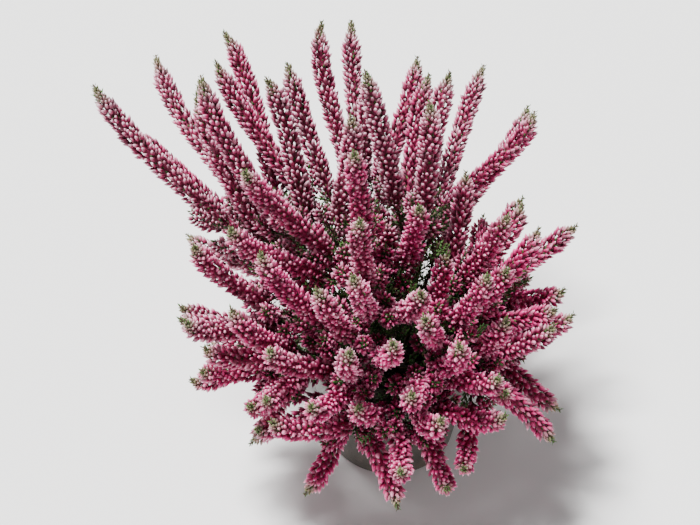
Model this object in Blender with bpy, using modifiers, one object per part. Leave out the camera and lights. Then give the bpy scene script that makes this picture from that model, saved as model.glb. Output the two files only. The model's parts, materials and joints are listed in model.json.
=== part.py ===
"""A potted heather (Calluna): a round nursery pot full of peat, with flowering sprays and leafy shoots standing in it.

Metres, +Z up. The origin is the middle of the pot's flat base. +X is the side where the shoots are short, and -Y is
the front, where they arch over the rim.
"""

import math
import random

import bmesh
import bpy
import numpy as np
from mathutils import Vector

MM = 0.001
TUBE_SIDES = 6
WELD = 1e-5

# Colour and roughness of each material.
LOOKS = {
    "heather_pink": ((0.56, 0.10, 0.26), 0.60),
    "heather_green": ((0.09, 0.14, 0.045), 0.65),
    "taupe_plastic": ((0.070, 0.062, 0.052), 0.42),
    "peat": ((0.030, 0.020, 0.013), 0.95),
}

# The pot: a round tapered nursery pot with a nominal diameter of 10.5 cm.
POT_RADIUS = 0.0525
POT_BASE_RADIUS = 0.0385
POT_HEIGHT = 0.078
POT_WALL = 0.0016
POT_FLOOR = 0.0024
COLLAR_HEIGHT = 0.016
COLLAR_STEP = 0.0016
LIP_WIDTH = 0.0030
LIP_HEIGHT = 0.0030
LIP_OVERHANG = 0.0012
EDGE_ROUND = 0.0006
FOOT_HEIGHT = 0.0020
FOOT_ROUND = 0.0010
POT_STEPS = 32
SHARP_ANGLE = 40.0
DRAIN_HOLES = 6
DRAIN_RADIUS = 0.0038
DRAIN_RING = 0.0265
DRAIN_SIDES = 8

# The peat stops a little under the lip.
GAP = 0.0003
SOIL_DROP = 0.008
SOIL_TOP = POT_HEIGHT - SOIL_DROP
SOIL_STEPS = 24
SOIL_RINGS = 4
SOIL_ROUGHNESS = 0.0009
CROWN = Vector((0.0, 0.0, SOIL_TOP))

# Woody stems. Roots of upright shoots stand near the middle, those of leaning ones nearer the rim.
ROOT_DEPTH = 0.011
ROOT_RING = (0.002, 0.031)
ROOT_LEAN_SHARE = 0.85
ROOT_LEAN_MOST = 54.0
ROOT_PULL = 0.7
HOLE_SIDES = 4
WOOD_RADIUS = 0.0011
TWIG_RADIUS = 0.0021
TWIG_SHARE = 0.14
TWIG_RELIEF = 0.22
LEAN_MOST = 91.0
FORK_SHARE = (0.24, 0.36)
FORK_STEP = 0.02
RIM_CLEARANCE = 0.0022

# Their tips turn up, in front most of all, and the lowest ones hang. Each sways to one side by its own slope.
TIP_PULL = 0.8
TIP_RISE = 30.0
FRONT_RISE = 26.0
FRONT_BEARING = 285.0
RISE_RANGE = (5.0, 60.0)
TIP_DROOP = 75.0
DROOP_RANGE = (86.0, 92.0)
SWAY = 0.38

# Flower spikes, with buds that stand out of them as relief, and their green tips. The start and end widths are
# shares of the full width, and the swell and the taper are where on the spike it is full and where it narrows.
SPIKE_RADIUS = 0.0064
SPIKE_START = 0.72
SPIKE_SWELL = 0.16
SPIKE_TAPER = 0.72
SPIKE_END = 0.66
SPIKE_SHARE = (0.37, 0.44)
SPIKE_SHARE_REACH = (0.140, 0.210)
BLOOM_EARLIEST = 0.28
BUD_RELIEF = 0.20
BUD_SLANT = 0.30
BUD_PITCH = 0.0092
FEWEST_BUD_RINGS = 4
GREEN_TIP = 0.010
GREEN_TIP_RADIUS = 0.0026
GREEN_TIP_POINT = 0.0009

# Green shoots without flowers.
LEAFY_RADIUS = 0.0034
LEAFY_TAPER = 0.75
LEAFY_END = 0.45
LEAF_RELIEF = 0.30
LEAF_PITCH = 0.0072
TWIG_PITCH = 0.030

# Flowering shoots that give the plant its outline, set by eye. Bearing 0 is +X and 90 is +Y, lean is counted from
# upright, both in degrees, and reach is in mm from the middle of the soil. First the ones that stand out of the rest.
KEY_SHOOTS = (
    (190, 50, 240),  # furthest to the left
    (155, 65, 240),  # furthest to the back left
    (175, 30, 210),  # over the left shoulder
    (120, 60, 220),  # furthest back
    (90, 65, 200),  # back right
    (65, 15, 165),  # the top
    (35, 65, 135),  # right
    (280, 90, 120),  # hangs in front of the pot
)

# Then the fans: from and to which bearing, from which lean down to which, the reach at those leans, and how many.
FANS = (
    ((130, 180), (30, 65), (200, 225), 8),  # back left
    ((70, 125), (10, 70), (180, 185), 7),  # back
    ((-20, 50), (25, 75), (140, 115), 7),  # right
    ((265, 325), (20, 54), (160, 145), 10),  # front, upper
    ((280, 350), (58, 80), (132, 116), 10),  # front right, lower
    ((210, 270), (20, 60), (185, 155), 8),  # front left, upper
    ((205, 285), (58, 78), (152, 122), 11),  # front left, lower
)
FAN_REACH = (0.90, 1.05)
FAN_JITTER = 7.0
GOLDEN_SHARE = (math.sqrt(5) - 1) / 2
GOLDEN_TURN = math.pi * (3 - math.sqrt(5))
FLOWER_SHOOTS = 92
SHOOTS_PER_SPRAY = 3
SPRAY_SPREAD = 0.46
FILL_LEAN_MOST = 82.0
FILL_REACH = (0.74, 0.98)
LEAFY_SHOOTS = 12
LEAFY_REACH = (66.0, 92.0)
LEAFY_LEAN = (14.0, 60.0)
CANDIDATES = 300
SEED = 7

# The shoots that fill the room between those grow long towards the back left and short elsewhere, least when low.
LONG_BEARING = 148.0
LONG_FALLOFF = 2.6
SHORT_REACH = 132.0
LONG_EXTRA = 76.0
LOW_RANGE = (60.0, 96.0)
LOW_LOSS = 0.20

# How shoots are bent clear of each other: leaders give way less than the rest. The inner ends of a spray's own
# shoots may touch, up to the free share of their way.
SPREAD_ROUNDS = 140
SPREAD_GAP = 0.0026
LEADER_YIELD = 0.2
FILL_YIELD = 0.5
FREE_SHARE = 0.4
NEAR_CROWN = 0.02
LIFT_RATE = 1.5
LIFT_MOST = 0.12
RIM_ZONE = 0.012
ROOT_SAMPLES = 3
SAMPLES = 18
LENGTH_SAMPLES = 13
TINY = 1e-6


def blend(low, high, share):
    """Between low at share 0 and high at share 1."""
    return low + (high - low) * share


def smooth_step(low, high, value):
    """0 below low, 1 above high, and an easy slope between them."""
    share = min(1.0, max(0.0, (value - low) / (high - low)))
    return share * share * (3 - 2 * share)


def heading(bearing, lean):
    """The unit vector that leans so many degrees from upright towards that bearing."""
    turn = math.radians(bearing)
    out = math.sin(math.radians(lean))
    return Vector((out * math.cos(turn), out * math.sin(turn), math.cos(math.radians(lean))))


def angles(way):
    """Bearing and lean of a vector, in degrees."""
    return math.degrees(math.atan2(way.y, way.x)), math.degrees(math.atan2(math.hypot(way.x, way.y), way.z))


def natural_reach(bearing, lean):
    """How far, in mm, a shoot that fills the room between the leaders can grow."""
    back_left = max(0.0, math.cos(math.radians(bearing - LONG_BEARING) / 2)) ** LONG_FALLOFF
    return (SHORT_REACH + LONG_EXTRA * back_left) * (1 - LOW_LOSS * smooth_step(*LOW_RANGE, lean))


def basis(shares):
    """Weights of a shoot's start, first slope, end and last slope at shares of the way."""
    t = np.asarray(shares, float)
    return np.stack([2 * t**3 - 3 * t**2 + 1, t**3 - 2 * t**2 + t, 3 * t**2 - 2 * t**3, t**3 - t**2], axis=-1)


class Shoot:
    """One shoot, from its root or fork to its tip."""

    def __init__(self, aim, reach, leader=False):
        self.aim = aim
        self.reach = reach * MM
        self.leader = leader
        self.flowers = True
        self.parent = None
        self.fork = 0.0
        self.sway = 0.0
        self.lift = 0.0
        self.curve = None

    def root(self):
        """Where it leaves the soil or its parent, and its direction there."""
        if self.parent is not None:
            start = self.parent.at(self.fork)
            along = (self.parent.at(self.fork + FORK_STEP) - start).normalized()
            outward = (self.tip() - start).normalized()
            return start, (along + outward).normalized()
        bearing, lean = angles(self.aim)
        start = heading(bearing, 90) * blend(*ROOT_RING, min(1.0, lean / LEAN_MOST)) + CROWN
        return start, heading(bearing, min(ROOT_LEAN_MOST, lean * ROOT_LEAN_SHARE))

    def tip(self):
        return CROWN + self.aim * self.reach

    def end_way(self):
        """The way its tip points."""
        bearing, lean = angles(self.aim)
        front = max(0.0, math.cos(math.radians(bearing - FRONT_BEARING)))
        rise = (TIP_RISE + FRONT_RISE * front) * smooth_step(*RISE_RANGE, lean)
        droop = TIP_DROOP * smooth_step(*DROOP_RANGE, lean)
        return (heading(bearing, lean - rise + droop) + heading(bearing + 90, 90) * self.sway).normalized()

    def settle(self):
        """Works out its smooth line: start, first slope, end and last slope. The parent comes first."""
        start, out = self.root()
        end = self.tip()
        span = (end - start).length
        first = out * span * ROOT_PULL + Vector((0, 0, self.lift))
        last = self.end_way() * span * TIP_PULL
        self.curve = np.array([start[:], first[:], end[:], last[:]])

    def line(self, shares):
        """Points on its line at shares of the way, as rows."""
        return basis(shares) @ self.curve

    def at(self, share):
        return Vector(self.line([share])[0])

    def length(self):
        steps = np.diff(self.line(np.linspace(0, 1, LENGTH_SAMPLES)), axis=0)
        return float(np.linalg.norm(steps, axis=1).sum())

    def zones(self):
        """Shares of the way where the leafy twig, the flowers and the green tip begin."""
        length = self.length()
        if not self.flowers:
            return TWIG_SHARE, 1.0, 1.0
        tip = 1 - GREEN_TIP / length
        share = blend(*SPIKE_SHARE, smooth_step(*SPIKE_SHARE_REACH, self.reach))
        bloom = max(BLOOM_EARLIEST, tip - share * self.reach / length)
        return TWIG_SHARE, bloom, tip

    def radius(self, share, zones):
        """Half its width at a share of the way, without the relief."""
        twig, bloom, tip = zones
        if share < twig:
            return WOOD_RADIUS
        if not self.flowers:
            return LEAFY_RADIUS * blend(1, LEAFY_END, smooth_step(LEAFY_TAPER, 1, share))
        if share < bloom - TINY:
            return TWIG_RADIUS
        if share > tip + TINY:
            return GREEN_TIP_RADIUS
        f = (share - bloom) / (tip - bloom)
        start = blend(SPIKE_START, 1, smooth_step(0, SPIKE_SWELL, f))
        end = blend(1, SPIKE_END, smooth_step(SPIKE_TAPER, 1, f))
        return SPIKE_RADIUS * start * end

    def widths(self, shares):
        """Half its width with the relief, at several shares of the way."""
        zones = self.zones()
        relief = BUD_RELIEF if self.flowers else LEAF_RELIEF
        return np.array([self.radius(share, zones) for share in shares]) * (1 + relief)


def leaders(draw):
    """The shoots that give the plant its outline: the single ones, and each fan spread from its top down."""
    made = [Shoot(heading(bearing, lean), reach, leader=True) for bearing, lean, reach in KEY_SHOOTS]
    for bearings, leans, reaches, count in FANS:
        for i in range(count):
            down = (i + 0.5) / count
            bearing = blend(*bearings, (i + 1) * GOLDEN_SHARE % 1) + draw.uniform(-1, 1) * FAN_JITTER
            reach = blend(*reaches, down) * draw.uniform(*FAN_REACH)
            made.append(Shoot(heading(bearing, blend(*leans, down)), reach, leader=True))
    return made


def fill_aims(found):
    """Aims for the other shoots: out of an even spread of candidates, always the one furthest from all so far."""
    taken = [shoot.aim for shoot in found]
    lowest = math.cos(math.radians(FILL_LEAN_MOST))
    candidates = []
    for i in range(CANDIDATES):
        z = blend(1, lowest, (i + 0.5) / CANDIDATES)
        turn = i * GOLDEN_TURN
        flat = math.sqrt(1 - z * z)
        candidates.append(Vector((flat * math.cos(turn), flat * math.sin(turn), z)))
    while len(taken) < FLOWER_SHOOTS:
        taken.append(max(candidates, key=lambda aim: min((aim - other).length for other in taken)))
    return taken[len(found):]


def gathered(free, draw):
    """The shoots in sprays: each main shoot takes the nearest ones that are still free as its side shoots."""
    sprays = []
    while free:
        main = free.pop(0)
        near = [shoot for shoot in free if (shoot.aim - main.aim).length < SPRAY_SPREAD]
        near.sort(key=lambda shoot: (shoot.aim - main.aim).length)
        sides = near[:SHOOTS_PER_SPRAY - 1]
        for side in sides:
            side.parent = main
            side.fork = draw.uniform(*FORK_SHARE)
            free.remove(side)
        sprays.append([main, *sides])
    return sprays


def leafy_shoots(draw):
    """The shoots without flowers, round the pot from nearly upright to leaning."""
    made = []
    for i in range(LEAFY_SHOOTS):
        bearing = 360 * (i * GOLDEN_SHARE % 1) + draw.uniform(-1, 1) * FAN_JITTER
        lean = blend(*LEAFY_LEAN, (i + 0.5) / LEAFY_SHOOTS)
        shoot = Shoot(heading(bearing, lean), draw.uniform(*LEAFY_REACH))
        shoot.flowers = False
        made.append(shoot)
    return made


def grow():
    """Every spray as a list of shoots, main one first, and then the leafy shoots, a list of one each."""
    draw = random.Random(SEED)
    free = leaders(draw)
    for aim in fill_aims(free):
        free.append(Shoot(aim, natural_reach(*angles(aim)) * draw.uniform(*FILL_REACH)))
    for shoot in free:
        shoot.sway = draw.uniform(-1, 1) * SWAY
    sprays = gathered(free, draw)
    leafy = [[shoot] for shoot in leafy_shoots(draw)]
    bend_clear(sprays + leafy)
    return sprays, leafy


def bend_clear(groups):
    """Turns the shoots' aims apart, and lifts their lines off the soil and the rim, until nothing touches."""
    shoots = [shoot for group in groups for shoot in group]
    shares = np.linspace(0, 1, SAMPLES)
    apart = kept_apart(groups, shares)
    for _ in range(SPREAD_ROUNDS):
        for shoot in shoots:
            shoot.settle()
        points = np.concatenate([shoot.line(shares) for shoot in shoots])
        radii = np.concatenate([shoot.widths(shares) for shoot in shoots])
        push = pushes(points, radii, apart)
        for i, shoot in enumerate(shoots):
            own = slice(i * SAMPLES, (i + 1) * SAMPLES)
            give_way(shoot, push[own], points[own], radii[own])
    for shoot in shoots:
        shoot.settle()


def kept_apart(groups, shares):
    """For each two samples, whether they have to stay clear of each other."""
    count = sum(len(group) for group in groups)
    spray = np.repeat([i for i, group in enumerate(groups) for _ in group], SAMPLES)
    shoot = np.repeat(np.arange(count), SAMPLES)
    outer = np.tile(shares, count) > FREE_SHARE
    other_spray = spray[:, None] != spray[None, :]
    other_shoot = shoot[:, None] != shoot[None, :]
    return other_shoot & (other_spray | (outer[:, None] & outer[None, :]))


def pushes(points, radii, apart):
    """The push on each sample away from the ones that are too close, weaker further out."""
    squares = (points**2).sum(1)
    distance = np.sqrt(np.clip(squares[:, None] + squares[None, :] - 2 * points @ points.T, TINY**2, None))
    rows, others = np.nonzero(apart & (distance < radii[:, None] + radii[None, :] + SPREAD_GAP))
    depth = radii[rows] + radii[others] + SPREAD_GAP - distance[rows, others]
    away = (points[rows] - points[others]) / distance[rows, others][:, None]
    push = np.zeros_like(points)
    np.add.at(push, rows, away * depth[:, None])
    return push / (np.linalg.norm(points - np.array(CROWN), axis=1) + NEAR_CROWN)[:, None]


def give_way(shoot, push, points, radii):
    """Turns a shoot's aim by its strongest push, and lifts its line where it is too low."""
    strongest = Vector(push[np.argmax(np.linalg.norm(push, axis=1))])
    bearing, lean = angles(shoot.aim + strongest * (LEADER_YIELD if shoot.leader else FILL_YIELD))
    shoot.aim = heading(bearing, min(lean, LEAN_MOST))
    sunk = max(0.0, -lowest_gap(points, radii))
    shoot.lift = min(LIFT_MOST, shoot.lift + sunk * LIFT_RATE)


def lowest_gap(points, radii):
    """The least room, below zero where they touch, between a shoot's samples and the soil or the rim."""
    out = np.linalg.norm(points[:, :2], axis=1)
    above = np.where(out > POT_RADIUS - RIM_ZONE, POT_HEIGHT, SOIL_TOP) + RIM_CLEARANCE
    room = points[:, 2] - radii - above
    near = (out < POT_RADIUS + radii + RIM_CLEARANCE) & (np.arange(len(points)) >= ROOT_SAMPLES)
    return float(room[near].min(initial=math.inf))


def remove_everything():
    for obj in list(bpy.data.objects):
        bpy.data.objects.remove(obj, do_unlink=True)


def material(name):
    colour, roughness = LOOKS[name]
    made = bpy.data.materials.new(name)
    made.use_nodes = True
    shader = made.node_tree.nodes["Principled BSDF"]
    shader.inputs["Base Color"].default_value = (*colour, 1.0)
    shader.inputs["Roughness"].default_value = roughness
    shader.inputs["Metallic"].default_value = 0.0
    return made


def new_collection(name):
    made = bpy.data.collections.new(name)
    bpy.context.scene.collection.children.link(made)
    return made


def evaluated_mesh(obj):
    """A new mesh of the object with its modifiers or its bevel applied."""
    bpy.context.view_layer.update()
    return bpy.data.meshes.new_from_object(obj.evaluated_get(bpy.context.evaluated_depsgraph_get()))


def tube(name, points, radii, collection):
    """An open tube along the points, whose vertices run ring by ring."""
    curve = bpy.data.curves.new(name, "CURVE")
    curve.dimensions = "3D"
    curve.bevel_depth = MM
    curve.bevel_resolution = TUBE_SIDES // 2 - 2
    spline = curve.splines.new("POLY")
    spline.points.add(len(points) - 1)
    for spot, point, radius in zip(spline.points, points, radii):
        spot.co = (*point, 1.0)
        spot.radius = radius / MM
    guide = bpy.data.objects.new(name, curve)
    collection.objects.link(guide)
    mesh = evaluated_mesh(guide)
    bpy.data.objects.remove(guide)
    made = bpy.data.objects.new(name, mesh)
    collection.objects.link(made)
    return made


def raise_relief(mesh, centres, relief):
    """Lifts every second vertex of each ring up and out, and sinks the others, the other way round on the next ring."""
    for ring, (centre, height) in enumerate(zip(centres, relief)):
        along = (centres[min(ring + 1, len(centres) - 1)] - centres[ring - 1]).normalized()
        for side in range(TUBE_SIDES):
            spot = mesh.vertices[ring * TUBE_SIDES + side]
            sign = 1 if (ring + side) % 2 else -1
            spot.co = centre + (spot.co - centre) * (1 + sign * height)
            if sign > 0 and height:
                spot.co += along * BUD_PITCH * BUD_SLANT


def close(mesh):
    """Welds the mesh, fills its open ends, turns its faces outwards and splits them into triangles."""
    work = bmesh.new()
    work.from_mesh(mesh)
    bmesh.ops.remove_doubles(work, verts=work.verts, dist=WELD)
    bmesh.ops.holes_fill(work, edges=[edge for edge in work.edges if edge.is_boundary])
    bmesh.ops.recalc_face_normals(work, faces=work.faces)
    bmesh.ops.triangulate(work, faces=work.faces)
    work.to_mesh(mesh)
    work.free()


def shoot_rings(shoot):
    """Shares of the way and relief of a shoot's rings."""
    twig, bloom, tip = shoot.zones()
    length = shoot.length()
    pitch, relief = (TWIG_PITCH, TWIG_RELIEF) if shoot.flowers else (LEAF_PITCH, LEAF_RELIEF)
    steps = max(1, round((bloom - twig) * length / pitch))
    rings = [(0.0, 0.0)] + [(blend(twig, bloom, i / steps), relief) for i in range(steps)]
    if shoot.flowers:
        steps = max(FEWEST_BUD_RINGS, round((tip - bloom) * length / BUD_PITCH))
        rings += [(blend(bloom, tip, i / steps), BUD_RELIEF) for i in range(steps + 1)]
    return rings + [(1.0, 0.0)]


def shoot_body(name, shoot, collection):
    """The closed solid of one shoot: woody foot, leafy twig, flower spike in relief and green tip."""
    rings = shoot_rings(shoot)
    zones = shoot.zones()
    points = [Vector(row) for row in shoot.line([share for share, _ in rings])]
    radii = [shoot.radius(share, zones) for share, _ in rings]
    relief = [height for _, height in rings]
    radii[-1] = GREEN_TIP_POINT
    if shoot.parent is None:
        start, out = shoot.root()
        points.insert(0, start - out * ROOT_DEPTH)
        radii.insert(0, WOOD_RADIUS)
        relief.insert(0, 0.0)
    made = tube(name, points, radii, collection)
    raise_relief(made.data, points, relief)
    close(made.data)
    return made


def keep_largest(mesh):
    """Drops what a union leaves loose or sealed inside, and keeps the one body."""
    work = bmesh.new()
    work.from_mesh(mesh)
    islands = []
    left = set(work.verts)
    while left:
        island = [left.pop()]
        for spot in island:
            for edge in spot.link_edges:
                other = edge.other_vert(spot)
                if other in left:
                    left.remove(other)
                    island.append(other)
        islands.append(island)
    islands.sort(key=len)
    bmesh.ops.delete(work, geom=[spot for island in islands[:-1] for spot in island], context="VERTS")
    work.to_mesh(mesh)
    work.free()


def combine(target, others, operation, solver):
    """Joins or cuts the target with the other objects by one Boolean, and removes them."""
    tools = new_collection(target.name + "_tools")
    for other in others:
        for home in list(other.users_collection):
            home.objects.unlink(other)
        tools.objects.link(other)
    step = target.modifiers.new("Combine", "BOOLEAN")
    step.operation = operation
    step.solver = solver
    step.operand_type = "COLLECTION"
    step.collection = tools
    if solver == "EXACT":
        step.use_self = True
    target.data = evaluated_mesh(target)
    target.modifiers.clear()
    target.data.materials.clear()
    for other in list(tools.objects):
        bpy.data.objects.remove(other)
    bpy.data.collections.remove(tools)


def united(name, bodies):
    """One object out of the bodies of a spray's shoots."""
    whole = bodies[0]
    if len(bodies) > 1:
        combine(whole, bodies[1:], "UNION", "EXACT")
        keep_largest(whole.data)
    whole.name = name
    return whole


def turned(name, profile, steps, collection):
    """A solid turned round Z from a profile of (radius, height) that starts and ends on the axis."""
    mesh = bpy.data.meshes.new(name)
    mesh.from_pydata([(r, 0, z) for r, z in profile], [(i, i + 1) for i in range(len(profile) - 1)], [])
    made = bpy.data.objects.new(name, mesh)
    collection.objects.link(made)
    screw = made.modifiers.new("Turn", "SCREW")
    screw.steps = steps
    screw.render_steps = steps
    screw.use_merge_vertices = True
    screw.merge_threshold = WELD
    made.data = evaluated_mesh(made)
    made.modifiers.clear()
    close(made.data)
    return made


def wall_radius(z):
    """Outer radius of the pot's tapered wall under the collar."""
    return blend(POT_BASE_RADIUS, POT_RADIUS - LIP_WIDTH / 2 - COLLAR_STEP, z / (POT_HEIGHT - COLLAR_HEIGHT))


def inner_radius(z):
    """Radius of the space inside the pot."""
    collar = POT_HEIGHT - COLLAR_HEIGHT
    return wall_radius(min(z, collar)) - POT_WALL + (COLLAR_STEP if z > collar + POT_WALL else 0.0)


def rod(start, along, length, radius, sides):
    """A plain closed rod from start along a direction, for cutting."""
    bpy.ops.mesh.primitive_cylinder_add(vertices=sides, radius=radius, depth=length)
    made = bpy.context.object
    made.rotation_mode = "QUATERNION"
    made.rotation_quaternion = along.to_track_quat("Z", "Y")
    made.location = start + along * (length / 2)
    bpy.context.view_layer.update()
    made.data.transform(made.matrix_world)
    made.matrix_world.identity()
    return made


def drain_holes():
    """Cutters for the ring of drain holes in the pot's floor."""
    made = []
    for i in range(DRAIN_HOLES):
        foot = heading(360 * (i + 0.5) / DRAIN_HOLES, 90) * DRAIN_RING - Vector((0, 0, POT_FLOOR))
        made.append(rod(foot, Vector((0, 0, 1)), 3 * POT_FLOOR, DRAIN_RADIUS, DRAIN_SIDES))
    return made


def build_pot(collection):
    """The pot, turned from its section, with its drain holes."""
    collar = POT_HEIGHT - COLLAR_HEIGHT
    inside = POT_RADIUS - LIP_WIDTH
    profile = [
        (0.0, POT_FLOOR),
        (inner_radius(POT_FLOOR), POT_FLOOR),
        (inner_radius(collar), collar + POT_WALL),
        (inner_radius(POT_HEIGHT), collar + 2 * POT_WALL),
        (inside, POT_HEIGHT - LIP_HEIGHT),
        (inside + EDGE_ROUND, POT_HEIGHT),
        (POT_RADIUS - EDGE_ROUND, POT_HEIGHT),
        (POT_RADIUS, POT_HEIGHT - EDGE_ROUND),
        (POT_RADIUS, POT_HEIGHT - LIP_HEIGHT),
        (POT_RADIUS - LIP_OVERHANG, POT_HEIGHT - LIP_HEIGHT - EDGE_ROUND),
        (wall_radius(collar) + COLLAR_STEP, collar),
        (wall_radius(collar), collar - EDGE_ROUND),
        (wall_radius(FOOT_HEIGHT), FOOT_HEIGHT),
        (POT_BASE_RADIUS - FOOT_ROUND, 0.0),
        (0.0, 0.0),
    ]
    pot = turned("pot", profile, POT_STEPS, collection)
    combine(pot, drain_holes(), "DIFFERENCE", "MANIFOLD")
    pot.data.shade_smooth()
    pot.data.set_sharp_from_angle(angle=math.radians(SHARP_ANGLE))
    pot.data.materials.append(material("taupe_plastic"))


def build_soil(collection, rooted):
    """The peat, with one plain hole for each stem that stands in it."""
    floor = POT_FLOOR + GAP
    collar = POT_HEIGHT - COLLAR_HEIGHT
    edge = inner_radius(POT_HEIGHT) - GAP
    profile = [(edge * i / SOIL_RINGS, SOIL_TOP) for i in range(SOIL_RINGS + 1)]
    profile += [
        (edge, collar + 2 * POT_WALL + GAP),
        (inner_radius(collar) - GAP, collar + POT_WALL),
        (inner_radius(floor) - GAP, floor),
        (0.0, floor),
    ]
    soil = turned("soil", profile, SOIL_STEPS, collection)
    draw = random.Random(SEED)
    for spot in soil.data.vertices:
        if spot.co.z > SOIL_TOP - WELD:
            spot.co.z += draw.uniform(-1, 1) * SOIL_ROUGHNESS
    width = (WOOD_RADIUS + GAP) / math.cos(math.pi / HOLE_SIDES)
    holes = []
    for shoot in rooted:
        start, out = shoot.root()
        holes.append(rod(start - out * (ROOT_DEPTH + GAP), out, 2 * ROOT_DEPTH, width, HOLE_SIDES))
    combine(soil, holes, "DIFFERENCE", "MANIFOLD")
    soil.data.materials.append(material("peat"))


def main():
    remove_everything()
    parts = new_collection("potted_heather")
    pink = material("heather_pink")
    green = material("heather_green")
    sprays, leafy = grow()
    build_pot(parts)
    build_soil(parts, [group[0] for group in sprays + leafy])
    for number, group in enumerate(sprays, 1):
        name = f"spray_{number:02d}"
        bodies = [shoot_body(f"{name}_{i}", shoot, parts) for i, shoot in enumerate(group)]
        united(name, bodies).data.materials.append(pink)
    for number, (shoot,) in enumerate(leafy, 1):
        shoot_body(f"leafy_shoot_{number:02d}", shoot, parts).data.materials.append(green)


main()
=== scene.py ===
"""Looks of the potted heather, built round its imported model: buds, scale leaves, bark, peat and pot."""

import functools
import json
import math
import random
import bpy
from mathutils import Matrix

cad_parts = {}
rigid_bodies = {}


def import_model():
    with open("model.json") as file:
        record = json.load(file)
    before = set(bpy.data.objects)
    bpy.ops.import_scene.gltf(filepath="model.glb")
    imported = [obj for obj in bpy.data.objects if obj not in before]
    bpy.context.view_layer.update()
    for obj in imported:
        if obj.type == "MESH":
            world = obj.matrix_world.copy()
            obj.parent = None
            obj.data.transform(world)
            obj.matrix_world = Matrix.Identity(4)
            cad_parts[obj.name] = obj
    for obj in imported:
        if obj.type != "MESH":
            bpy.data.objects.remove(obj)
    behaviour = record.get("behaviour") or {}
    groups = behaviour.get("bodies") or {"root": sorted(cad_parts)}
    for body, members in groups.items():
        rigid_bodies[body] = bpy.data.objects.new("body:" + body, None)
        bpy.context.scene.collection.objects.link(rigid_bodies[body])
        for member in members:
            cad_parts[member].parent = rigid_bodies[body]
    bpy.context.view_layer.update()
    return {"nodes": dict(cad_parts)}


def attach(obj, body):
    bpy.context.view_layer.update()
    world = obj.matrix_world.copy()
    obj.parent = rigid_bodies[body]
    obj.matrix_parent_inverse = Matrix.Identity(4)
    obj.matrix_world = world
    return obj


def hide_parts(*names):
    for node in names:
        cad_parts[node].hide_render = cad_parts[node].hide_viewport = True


bl_info = {
    "name": "Potted heather",
    "version": (1, 0, 0),
    "blender": (4, 5, 0),
    "location": "3D View > Sidebar > Heather",
    "description": "Dresses the packed potted heather with buds, leaves, bark, peat and a moulded pot",
    "category": "Object",
}

import bmesh
import bpy
import numpy as np
from mathutils import Matrix, Vector

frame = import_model()

MM = 0.001
WELD = 1e-5

# The pot: a round tapered nursery pot with a nominal diameter of 10.5 cm.
POT_RADIUS = 0.0525
POT_BASE_RADIUS = 0.0385
POT_HEIGHT = 0.078
POT_WALL = 0.0016
POT_FLOOR = 0.0024
COLLAR_HEIGHT = 0.016
COLLAR_STEP = 0.0016
LIP_WIDTH = 0.0030
LIP_HEIGHT = 0.0030
LIP_OVERHANG = 0.0012
EDGE_ROUND = 0.0006
FOOT_HEIGHT = 0.0020
FOOT_ROUND = 0.0010
SHARP_ANGLE = 40.0
DRAIN_HOLES = 6
DRAIN_RADIUS = 0.0038
DRAIN_RING = 0.0265

# The peat stops a little under the lip.
SOIL_DROP = 0.008
SOIL_TOP = POT_HEIGHT - SOIL_DROP
SOIL_ROUGHNESS = 0.0009
CROWN = Vector((0.0, 0.0, SOIL_TOP))

# Woody stems. Roots of upright shoots stand near the middle, those of leaning ones nearer the rim.
ROOT_DEPTH = 0.011
ROOT_RING = (0.002, 0.031)
ROOT_LEAN_SHARE = 0.85
ROOT_LEAN_MOST = 54.0
ROOT_PULL = 0.7
WOOD_RADIUS = 0.0011
TWIG_RADIUS = 0.0021
TWIG_SHARE = 0.14
LEAN_MOST = 91.0
FORK_SHARE = (0.24, 0.36)
FORK_STEP = 0.02
RIM_CLEARANCE = 0.0022

# Their tips turn up, in front most of all, and the lowest ones hang. Each sways to one side by its own
# slope.
TIP_PULL = 0.8
TIP_RISE = 30.0
FRONT_RISE = 26.0
FRONT_BEARING = 285.0
RISE_RANGE = (5.0, 60.0)
TIP_DROOP = 75.0
DROOP_RANGE = (86.0, 92.0)
SWAY = 0.38

# Flower spikes, with buds that stand out of them as relief, and their green tips. The start and end
# widths are shares of the full width, and the swell and the taper are where on the spike it is full and
# where it narrows.
SPIKE_RADIUS = 0.0064
SPIKE_START = 0.72
SPIKE_SWELL = 0.16
SPIKE_TAPER = 0.72
SPIKE_END = 0.66
SPIKE_SHARE = (0.37, 0.44)
SPIKE_SHARE_REACH = (0.140, 0.210)
BLOOM_EARLIEST = 0.28
BUD_RELIEF = 0.20
GREEN_TIP = 0.010
GREEN_TIP_RADIUS = 0.0026
GREEN_TIP_POINT = 0.0009

# Green shoots without flowers.
LEAFY_RADIUS = 0.0034
LEAFY_TAPER = 0.75
LEAFY_END = 0.45
LEAF_RELIEF = 0.30

# Flowering shoots that give the plant its outline. Bearing 0 is +X and 90 is +Y, lean is
# counted from upright, both in degrees, and reach is in mm from the middle of the soil. First the ones
# that stand out of the rest.
KEY_SHOOTS = (
    (190, 50, 240),  # furthest to the left
    (155, 65, 240),  # furthest to the back left
    (175, 30, 210),  # over the left shoulder
    (120, 60, 220),  # furthest back
    (90, 65, 200),  # back right
    (65, 15, 165),  # the top
    (35, 65, 135),  # right
    (280, 90, 120),  # hangs in front of the pot
)

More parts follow.
